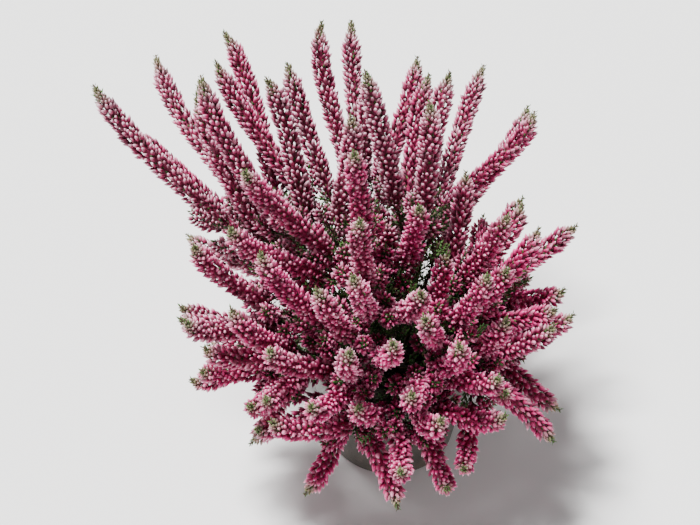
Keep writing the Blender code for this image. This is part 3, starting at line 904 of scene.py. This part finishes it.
class Paint:
    """A Principled material and short calls for its nodes."""

    def __init__(self, name):
        self.material = bpy.data.materials.new(name)
        self.material.use_nodes = True
        self.tree = self.material.node_tree
        self.shader = self.tree.nodes["Principled BSDF"]

    def node(self, kind, **inputs):
        """A new node with some of its inputs set."""
        made = self.tree.nodes.new(kind)
        for key, value in inputs.items():
            self.feed(made.inputs[key.replace("_", " ")], value)
        return made

    def feed(self, socket, value):
        """Links a socket to an output, or sets its value."""
        if isinstance(value, bpy.types.NodeSocket):
            self.tree.links.new(value, socket)
        elif socket.type == "RGBA":
            socket.default_value = (*value, 1.0)
        else:
            socket.default_value = value

    def attribute(self, name):
        """One of the marks that the vertices carry."""
        made = self.tree.nodes.new("ShaderNodeAttribute")
        made.attribute_name = name
        return made.outputs["Fac"]

    def place(self, scale=(1, 1, 1)):
        """Object coordinates, stretched by a scale."""
        mapping = self.node("ShaderNodeMapping", Scale=scale)
        self.feed(mapping.inputs["Vector"], self.tree.nodes.new("ShaderNodeTexCoord").outputs["Object"])
        return mapping.outputs["Vector"]

    def noise(self, scale, detail, roughness=0.55, place=None):
        """Noise on the object's coordinates, or on a stretched place."""
        made = self.node("ShaderNodeTexNoise", Scale=scale, Detail=detail, Roughness=roughness)
        self.feed(made.inputs["Vector"], place or self.place())
        return made.outputs["Fac"]

    def between(self, value, low, high, to_low=0.0, to_high=1.0):
        """The value taken from one range to another, and held at its ends."""
        made = self.node("ShaderNodeMapRange")
        for socket, number in zip(list(made.inputs)[:5], (value, low, high, to_low, to_high)):
            self.feed(socket, number)
        return made.outputs["Result"]

    def combine(self, kind, first, second):
        """Two values added or multiplied."""
        made = self.tree.nodes.new("ShaderNodeMath")
        made.operation = kind
        self.feed(made.inputs[0], first)
        self.feed(made.inputs[1], second)
        return made.outputs[0]

    def mix(self, share, first, second):
        """The first colour, with a share of the second over it."""
        made = self.tree.nodes.new("ShaderNodeMix")
        made.data_type = "RGBA"
        self.feed(made.inputs["Factor"], share)
        self.feed(made.inputs[6], first)
        self.feed(made.inputs[7], second)
        return made.outputs[2]

    def cover(self, under, over, value, bare, full, most=1.0):
        """One colour over another: none where the value is at bare, and the most where it is at full."""
        return self.mix(self.between(value, bare, full, 0.0, most), under, over)

    def ramp(self, value, stops):
        """Colours from stops of (place, colour), read at the value."""
        made = self.tree.nodes.new("ShaderNodeValToRGB")
        points = made.color_ramp.elements
        while len(points) < len(stops):
            points.new(0.5)
        for point, (place, colour) in zip(points, stops):
            point.position = place
            point.color = (*colour, 1.0)
        self.feed(made.inputs["Fac"], value)
        return made.outputs["Color"]

    def bump(self, height, strength, distance):
        """Fine relief on the shader."""
        made = self.node("ShaderNodeBump", Strength=strength, Distance=distance, Height=height)
        self.feed(self.shader.inputs["Normal"], made.outputs["Normal"])

    def finish(self, colour, roughness, **plain):
        """Sets the shader's colour, roughness and plain numbers, and gives the material."""
        self.feed(self.shader.inputs["Base Color"], colour)
        self.feed(self.shader.inputs["Roughness"], roughness)
        for key, value in plain.items():
            self.shader.inputs[key.replace("_", " ")].default_value = value
        return self.material


def bud_material(blooms):
    """Deep colour and painted shade at each bud's foot, pale at its point, painted shade on buds low on the
    shoots, and olive at the spike's tip.
    """
    paint = Paint("heather_buds")
    rise = paint.attribute("rise")
    tint = paint.attribute("tint")
    age = paint.attribute("age")
    speckle = paint.noise(scale=900.0, detail=3.0)
    uneven = paint.between(speckle, low=0.3, high=0.7, to_low=-0.12, to_high=0.12)
    height = paint.combine("ADD", rise, uneven)
    # From the foot of each bud to its point: deep colour with painted shade at the foot, then body, flush and
    # the pale point.
    bright = paint.ramp(height, (
        (0.10, blooms.foot_and_shade_colour),
        (0.42, blooms.body_colour),
        (0.84, blooms.flush_colour),
        (1.00, blooms.point_colour),
    ))
    dull = paint.ramp(height, (
        (0.12, blooms.foot_and_shade_colour),
        (0.55, blooms.dusty_colour),
        (0.93, blooms.point_colour),
    ))
    body = paint.cover(bright, dull, paint.attribute("vivid"), bare=0.70, full=0.15, most=0.70)
    pale = paint.cover(body, blooms.point_colour, tint, bare=0.80, full=1.0, most=0.30)
    deep = paint.cover(pale, blooms.foot_and_shade_colour, tint, bare=0.36, full=0.05, most=0.75)
    shut = paint.cover(deep, blooms.point_colour, age, bare=0.80, full=0.94, most=0.28)
    young = paint.cover(shut, blooms.young_colour, age, bare=0.86, full=0.99, most=0.85)
    # Painted shade: buds low on a spike and on the side twigs, where the age mark is small, darken towards
    # the foot colour.
    painted_inner_shade = paint.cover(young, blooms.foot_and_shade_colour, age, bare=0.34, full=0.0, most=0.60)
    rough = paint.between(speckle, low=0.3, high=0.7, to_low=0.42, to_high=0.62)
    paint.bump(speckle, strength=0.25, distance=0.0004)
    return paint.finish(painted_inner_shade, rough, Specular_IOR_Level=0.2)


def leaf_material(leaves):
    """Dull green scale leaves, fresher near the tips of the shoots, with a dry brown one here and there."""
    paint = Paint("heather_leaves")
    tint = paint.attribute("tint")
    age = paint.attribute("age")
    rise = paint.attribute("rise")
    grain = paint.noise(scale=700.0, detail=3.0)
    green = paint.mix(tint, leaves.old_colour, leaves.young_colour)
    fresh = paint.cover(green, leaves.tip_colour, age, bare=0.72, full=1.0, most=0.7)
    dry = paint.cover(fresh, leaves.dry_colour, tint, bare=0.07, full=0.0, most=0.8)
    edge = paint.cover(dry, leaves.tip_colour, rise, bare=0.6, full=1.0, most=0.35)
    mottled = paint.cover(edge, leaves.old_colour, grain, bare=0.35, full=0.7, most=0.4)
    paint.bump(grain, strength=0.3, distance=0.0003)
    rough = paint.between(grain, low=0.3, high=0.7, to_low=0.42, to_high=0.66)
    return paint.finish(mottled, rough, Specular_IOR_Level=0.3)


def bark_material(leaves):
    """Thin brown bark with fine cracks and lighter scars."""
    paint = Paint("heather_bark")
    cracks = paint.noise(scale=520.0, detail=6.0, roughness=0.7)
    scars = paint.noise(scale=160.0, detail=2.0)
    brown = paint.cover(leaves.bark_dark, leaves.bark_light, cracks, bare=0.35, full=0.65)
    scarred = paint.cover(brown, leaves.bark_scar, scars, bare=0.52, full=0.72, most=0.6)
    paint.bump(cracks, strength=0.6, distance=0.0006)
    rough = paint.between(cracks, low=0.3, high=0.7, to_low=0.7, to_high=0.92)
    return paint.finish(scarred, rough)


def peat_material(peat):
    """Dark crumbly peat with lighter fibres and damp spots."""
    paint = Paint("peat_crumble")
    crumble = paint.noise(scale=260.0, detail=8.0, roughness=0.68)
    fibres = paint.noise(scale=120.0, detail=5.0, roughness=0.6, place=paint.place(scale=(1.0, 6.0, 3.0)))
    damp = paint.noise(scale=45.0, detail=2.0)
    base = paint.cover(peat.dark_colour, peat.light_colour, crumble, bare=0.35, full=0.68)
    fibrous = paint.cover(base, peat.fibre_colour, fibres, bare=0.58, full=0.72, most=0.65)
    wet = paint.cover(fibrous, peat.dark_colour, damp, bare=0.5, full=0.7, most=0.5)
    paint.bump(crumble, strength=0.9, distance=0.0022)
    rough = paint.between(damp, low=0.45, high=0.65, to_low=0.95, to_high=0.72)
    return paint.finish(wet, rough)


def pot_material(pot):
    """Thin moulded plastic: a faint flow pattern, fine scuffs round the wall and a little dust low down."""
    paint = Paint("moulded_plastic")
    flow = paint.noise(scale=38.0, detail=3.0, roughness=0.5, place=paint.place(scale=(1.0, 1.0, 2.5)))
    scuffs = paint.noise(scale=420.0, detail=5.0, roughness=0.7, place=paint.place(scale=(1.0, 1.0, 9.0)))
    grain = paint.noise(scale=1500.0, detail=2.0)
    base = paint.cover(pot.colour, pot.light_colour, flow, bare=0.35, full=0.65, most=0.5)
    scuffed = paint.cover(base, pot.scuff_colour, scuffs, bare=0.60, full=0.74, most=0.5)
    heights = paint.tree.nodes.new("ShaderNodeSeparateXYZ")
    paint.feed(heights.inputs[0], paint.place())
    low_down = paint.between(heights.outputs["Z"], low=DUST_HEIGHT, high=0.0, to_low=0.0, to_high=1.0)
    patches = paint.between(flow, low=0.40, high=0.60, to_low=0.15, to_high=0.75)
    dusty = paint.mix(paint.combine("MULTIPLY", low_down, patches), scuffed, pot.dust_colour)
    scuff_relief = paint.combine("MULTIPLY", scuffs, SCUFF_RELIEF)
    paint.bump(paint.combine("ADD", grain, scuff_relief), strength=0.18, distance=0.0005)
    rough = paint.between(scuffs, low=0.35, high=0.70, to_low=0.34, to_high=0.55)
    return paint.finish(dusty, rough)


def plain_material(name, colour, roughness):
    """A material of one colour."""
    return Paint(name).finish(colour, roughness)


def colour_setting(name, description, default):
    """A colour that a user can change."""
    return bpy.props.FloatVectorProperty(
        name=name, description=description, default=default, size=3, min=0.0, max=1.0, subtype="COLOR"
    )


def length_setting(name, description, default):
    """A length that a user can change."""
    return bpy.props.FloatProperty(
        name=name, description=description, default=default, min=0.0002, max=0.05, precision=5, unit="LENGTH"
    )


def number_setting(name, description, default, least, most):
    """A number that a user can change."""
    return bpy.props.FloatProperty(name=name, description=description, default=default, min=least, max=most)


class HeatherBlooms(bpy.types.PropertyGroup):
    """Sizes and colours of the flower buds."""

    bud_length: length_setting("Bud length", "Length of a full-grown bud", 0.0054)
    bud_width: length_setting("Bud width", "Width of a full-grown bud", 0.0025)
    bud_spacing: length_setting("Bud spacing", "Way along a spike from one bud to the next", 0.00035)
    # The foot colour is the buds' deep colour and painted shade, at their feet and low in the plant.
    foot_and_shade_colour: colour_setting("Foot", "Colour at the foot of a bud", (0.062, 0.012, 0.020))
    body_colour: colour_setting("Body", "Colour of the bud's body", (0.42, 0.018, 0.110))
    flush_colour: colour_setting("Flush", "Colour near the point of a bud", (0.71, 0.066, 0.265))
    dusty_colour: colour_setting("Dusty", "Colour of the body of duller buds", (0.36, 0.055, 0.125))
    point_colour: colour_setting("Point", "Colour of the very point of a bud", (0.94, 0.72, 0.79))
    young_colour: colour_setting("Young buds", "Colour of the youngest buds", (0.155, 0.205, 0.070))


class HeatherLeaves(bpy.types.PropertyGroup):
    """Sizes and colours of leaves and bark."""

    leaf_length: length_setting("Leaf length", "Length of a scale leaf", 0.0027)
    leaf_width: length_setting("Leaf width", "Width of a scale leaf", 0.0012)
    pair_spacing: length_setting("Pair spacing", "Way from one pair of leaves to the next", 0.0012)
    between_buds: number_setting("Between buds", "Size of leaves between buds, as a share", 1.7, 0.2, 3.0)
    old_colour: colour_setting("Old leaf", "Colour of old leaves", (0.012, 0.042, 0.008))
    young_colour: colour_setting("Young leaf", "Colour of young leaves", (0.040, 0.125, 0.020))
    tip_colour: colour_setting("Leaf tip", "Colour at the tips of leaves and shoots", (0.095, 0.205, 0.042))
    dry_colour: colour_setting("Dry leaf", "Colour of dry leaves", (0.12, 0.065, 0.032))
    bark_dark: colour_setting("Dark bark", "Colour in the cracks of the bark", (0.030, 0.018, 0.011))
    bark_light: colour_setting("Light bark", "Colour of the bark", (0.105, 0.062, 0.038))
    bark_scar: colour_setting("Bark scars", "Colour of the scars in the bark", (0.19, 0.135, 0.095))


class HeatherPeat(bpy.types.PropertyGroup):
    """Size and colours of the peat."""

    crumb_size: length_setting("Crumb size", "Width of the largest crumbs", 0.0032)
    crumb_count: bpy.props.IntProperty(
        name="Crumbs", description="How many crumbs lie on the peat", default=900, min=0, max=5000
    )
    dark_colour: colour_setting("Damp peat", "Colour of damp peat", (0.010, 0.0065, 0.0045))
    light_colour: colour_setting("Dry peat", "Colour of dry peat", (0.045, 0.029, 0.018))
    fibre_colour: colour_setting("Fibres", "Colour of the fibres in the peat", (0.11, 0.072, 0.040))


class HeatherPot(bpy.types.PropertyGroup):
    """Colours of the pot."""

    colour: colour_setting("Plastic", "Colour of the plastic", (0.050, 0.044, 0.037))
    light_colour: colour_setting("Streaks", "Colour of lighter streaks in the plastic", (0.068, 0.060, 0.051))
    scuff_colour: colour_setting("Scuffs", "Colour of fine scuffs", (0.105, 0.096, 0.085))
    dust_colour: colour_setting("Dust", "Colour of the dust low on the pot", (0.115, 0.095, 0.072))


class HeatherStage(bpy.types.PropertyGroup):
    """Camera, light, floor and backdrop."""

    lens: number_setting("Lens", "Focal length of the camera in mm", 96.0, 20.0, 200.0)
    key_strength: number_setting("Key light", "Strength of the soft light from above", 9.8, 0.0, 20.0)
    sky: number_setting("Light from above", "Strength of the even light from above", 0.15, 0.0, 5.0)
    glow: number_setting("Light from the sides", "Brightness of the backdrop", 1.15, 0.0, 5.0)
    floor_colour: colour_setting("Floor", "Colour of the floor", (0.88, 0.88, 0.87))


class HEATHER_OT_dress_sprays(bpy.types.Operator):
    """Covers each flowering spray with bark, leaves and buds"""

    bl_idname = "heather.dress_sprays"
    bl_label = "Dress the flowering sprays"

    def execute(self, context):
        blooms = context.scene.heather_blooms
        leaves = context.scene.heather_leaves
        shapes = {"leaf": leaf_shape(), "bud": bud_shape()}
        materials = (bark_material(leaves), leaf_material(leaves), bud_material(blooms))
        for number, group in enumerate(grown()[0], 1):
            piece = spray_piece(number, group, blooms, leaves, shapes, materials)
            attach(piece, "root")
            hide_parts(f"spray_{number:02d}")
        return {"FINISHED"}


class HEATHER_OT_dress_leafy_shoots(bpy.types.Operator):
    """Covers each leafy shoot with bark and leaves"""

    bl_idname = "heather.dress_leafy_shoots"
    bl_label = "Dress the leafy shoots"

    def execute(self, context):
        leaves = context.scene.heather_leaves
        shapes = {"leaf": leaf_shape(), "bud": bud_shape()}
        materials = (bark_material(leaves), leaf_material(leaves))
        for number, group in enumerate(grown()[1], 1):
            piece = spray_piece(number, group, None, leaves, shapes, materials)
            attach(piece, "root")
            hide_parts(f"leafy_shoot_{number:02d}")
        return {"FINISHED"}


class HEATHER_OT_dress_peat(bpy.types.Operator):
    """Gives the peat its look and lays loose crumbs on it"""

    bl_idname = "heather.dress_peat"
    bl_label = "Dress the peat"

    def execute(self, context):
        peat = context.scene.heather_peat
        look = peat_material(peat)
        for place in frame["nodes"]["soil"].material_slots:
            place.material = look
        draw = random.Random(SEED)
        places = []
        for _ in range(peat.crumb_count):
            out = inner_radius(POT_HEIGHT) * CRUMB_ZONE * math.sqrt(draw.random())
            spot = heading(draw.uniform(0, 360), 90) * out
            size = peat.crumb_size * draw.uniform(*CRUMB_SIZES)
            way = heading(draw.uniform(0, 360), draw.uniform(0, 90))
            point = Vector((spot.x, spot.y, SOIL_TOP + SOIL_ROUGHNESS / 2))
            matrix = placed(point, way.orthogonal(), way, size, size * draw.uniform(*CRUMB_STRETCH))
            places.append((matrix, (0.0, draw.random(), 0.0)))
        bm = new_shell()
        copies(bm, crumb_shape(), 0, places)
        mesh = finished("peat_crumbs", bm)
        mesh.materials.append(look)
        piece = new_piece("peat_crumbs", mesh)
        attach(piece, "root")
        return {"FINISHED"}


class HEATHER_OT_mould_pot(bpy.types.Operator):
    """Spins the fine round pot from the profile of its solid"""

    bl_idname = "heather.mould_pot"
    bl_label = "Mould the pot"

    def execute(self, context):
        piece = new_piece("nursery_pot", finished("nursery_pot", spun(pot_profile())))
        drill(piece)
        piece.data.materials.append(pot_material(context.scene.heather_pot))
        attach(piece, "root")
        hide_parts("pot")
        return {"FINISHED"}


class HEATHER_OT_set_stage(bpy.types.Operator):
    """Sets the floor, the backdrop, the soft light and the camera"""

    bl_idname = "heather.set_stage"
    bl_label = "Set the stage"

    def execute(self, context):
        stage = context.scene.heather_stage
        build_backdrop(stage)
        light = bpy.data.lights.new("key_light", "SUN")
        light.energy = stage.key_strength
        light.angle = math.radians(SUN_SOFTNESS)
        sun = bpy.data.objects.new("key_light", light)
        context.scene.collection.objects.link(sun)
        sun.location = SUN_PLACE
        sun.rotation_euler = aimed(SUN_PLACE, (0.0, 0.0, 0.0))
        world = bpy.data.worlds.new("surroundings")
        context.scene.world = world
        world.use_nodes = True
        sky = world.node_tree.nodes["Background"]
        sky.inputs["Color"].default_value = SKY_COLOUR
        sky.inputs["Strength"].default_value = stage.sky
        lens = bpy.data.cameras.new("camera")
        lens.lens = stage.lens
        camera = bpy.data.objects.new("camera", lens)
        context.scene.collection.objects.link(camera)
        camera.location = CAMERA_PLACE
        camera.rotation_euler = aimed(CAMERA_PLACE, CAMERA_AIM)
        context.scene.camera = camera
        return {"FINISHED"}


def aimed(place, target):
    """The turn of a camera or light at a place that looks at a target."""
    return (Vector(target) - Vector(place)).to_track_quat("-Z", "Y").to_euler()


def build_backdrop(stage):
    """A round pale floor, and a glowing pale wall far away all round it."""
    bm = bmesh.new()
    bmesh.ops.create_circle(bm, cap_ends=True, segments=BACKDROP_SIDES, radius=BACKDROP_RADIUS)
    floor = new_piece("floor", finished("floor", bm))
    floor.data.materials.append(plain_material("floor_paper", stage.floor_colour, FLOOR_ROUGHNESS))
    bm = bmesh.new()
    bmesh.ops.create_cone(
        bm, cap_ends=False, segments=BACKDROP_SIDES, radius1=BACKDROP_RADIUS, radius2=BACKDROP_RADIUS,
        depth=BACKDROP_HEIGHT,
    )
    bmesh.ops.translate(bm, verts=bm.verts, vec=(0, 0, BACKDROP_HEIGHT / 2))
    wall = new_piece("backdrop", finished("backdrop", bm))
    look = plain_material("backdrop_glow", colour=(0.0, 0.0, 0.0), roughness=1.0)
    shader = look.node_tree.nodes["Principled BSDF"]
    shader.inputs["Emission Color"].default_value = (*stage.floor_colour, 1.0)
    shader.inputs["Emission Strength"].default_value = stage.glow
    wall.data.materials.append(look)


def pot_profile():
    """The pot's section as (radius, height), from the middle of its floor, over the lip, to its foot."""
    collar = POT_HEIGHT - COLLAR_HEIGHT
    inside = POT_RADIUS - LIP_WIDTH
    outside = wall_radius(collar) + COLLAR_STEP
    small = EDGE_ROUND / 2
    return [
        (0.0, POT_FLOOR),
        (inner_radius(POT_FLOOR) - EDGE_ROUND, POT_FLOOR),
        (inner_radius(POT_FLOOR), POT_FLOOR + EDGE_ROUND),
        (inner_radius(collar), collar + POT_WALL),
        (inner_radius(POT_HEIGHT), collar + 2 * POT_WALL),
        (inside, POT_HEIGHT - LIP_HEIGHT),
        (inside, POT_HEIGHT - EDGE_ROUND),
        (inside + small, POT_HEIGHT - small / 2),
        (inside + EDGE_ROUND, POT_HEIGHT),
        (POT_RADIUS - EDGE_ROUND, POT_HEIGHT),
        (POT_RADIUS - small / 2, POT_HEIGHT - small / 2),
        (POT_RADIUS, POT_HEIGHT - EDGE_ROUND),
        (POT_RADIUS, POT_HEIGHT - LIP_HEIGHT),
        (POT_RADIUS - LIP_OVERHANG, POT_HEIGHT - LIP_HEIGHT - EDGE_ROUND),
        (outside, collar + small),
        (outside - small, collar),
        (wall_radius(collar) + small, collar - small),
        (wall_radius(collar), collar - EDGE_ROUND),
        (wall_radius(FOOT_HEIGHT), FOOT_HEIGHT),
        (POT_BASE_RADIUS - small, small),
        (POT_BASE_RADIUS - FOOT_ROUND, 0.0),
        (0.0, 0.0),
    ]


def spun(profile):
    """A closed bmesh turned round Z from a profile that starts and ends on the axis."""
    bm = bmesh.new()
    spots = [bm.verts.new((r, 0, z)) for r, z in profile]
    edges = [bm.edges.new(pair) for pair in zip(spots, spots[1:])]
    bmesh.ops.spin(
        bm, geom=spots + edges, cent=(0, 0, 0), axis=(0, 0, 1), angle=math.tau, steps=POT_SPIN_STEPS,
        use_merge=True,
    )
    bmesh.ops.remove_doubles(bm, verts=bm.verts, dist=WELD)
    return bm


def drill(pot):
    """Cuts the ring of drain holes through the pot's floor, and marks its sharp edges."""
    bm = bmesh.new()
    for i in range(DRAIN_HOLES):
        spot = heading(360 * (i + 0.5) / DRAIN_HOLES, 90) * DRAIN_RING
        bmesh.ops.create_cone(
            bm, cap_ends=True, segments=HOLE_SPIN_STEPS, radius1=DRAIN_RADIUS, radius2=DRAIN_RADIUS,
            depth=4 * POT_FLOOR, matrix=Matrix.Translation(spot),
        )
    drills = new_piece("drills", finished("drills", bm))
    cut = pot.modifiers.new("Drain holes", "BOOLEAN")
    cut.operation = "DIFFERENCE"
    cut.object = drills
    mesh = bpy.data.meshes.new_from_object(pot.evaluated_get(bpy.context.evaluated_depsgraph_get()))
    pot.modifiers.clear()
    pot.data = mesh
    bpy.data.objects.remove(drills)
    mesh.shade_smooth()
    mesh.set_sharp_from_angle(angle=math.radians(SHARP_ANGLE))


OPERATORS = (
    HEATHER_OT_dress_sprays,
    HEATHER_OT_dress_leafy_shoots,
    HEATHER_OT_dress_peat,
    HEATHER_OT_mould_pot,
    HEATHER_OT_set_stage,
)


class HEATHER_PT_panel(bpy.types.Panel):
    """The heather's settings and steps"""

    bl_label = "Potted heather"
    bl_idname = "HEATHER_PT_panel"
    bl_space_type = "VIEW_3D"
    bl_region_type = "UI"
    bl_category = "Heather"

    def draw(self, context):
        for step in OPERATORS:
            self.layout.operator(step.bl_idname)
        for name in SETTINGS:
            box = self.layout.box()
            settings = getattr(context.scene, name)
            for field in settings.__annotations__:
                box.prop(settings, field)


SETTINGS = {
    "heather_blooms": HeatherBlooms,
    "heather_leaves": HeatherLeaves,
    "heather_peat": HeatherPeat,
    "heather_pot": HeatherPot,
    "heather_stage": HeatherStage,
}
CLASSES = (*SETTINGS.values(), *OPERATORS, HEATHER_PT_panel)


def register():
    """Adds the classes and the settings to Blender."""
    for item in CLASSES:
        bpy.utils.register_class(item)
    for name, group in SETTINGS.items():
        setattr(bpy.types.Scene, name, bpy.props.PointerProperty(type=group))


def unregister():
    """Takes the settings and the classes out of Blender."""
    for name in SETTINGS:
        delattr(bpy.types.Scene, name)
    for item in reversed(CLASSES):
        bpy.utils.unregister_class(item)


def main():
    """Registers the add-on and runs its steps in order."""
    register()
    bpy.ops.heather.set_stage()
    bpy.ops.heather.mould_pot()
    bpy.ops.heather.dress_peat()
    bpy.ops.heather.dress_leafy_shoots()
    bpy.ops.heather.dress_sprays()
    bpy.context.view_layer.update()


if __name__ == "__main__":
    main()
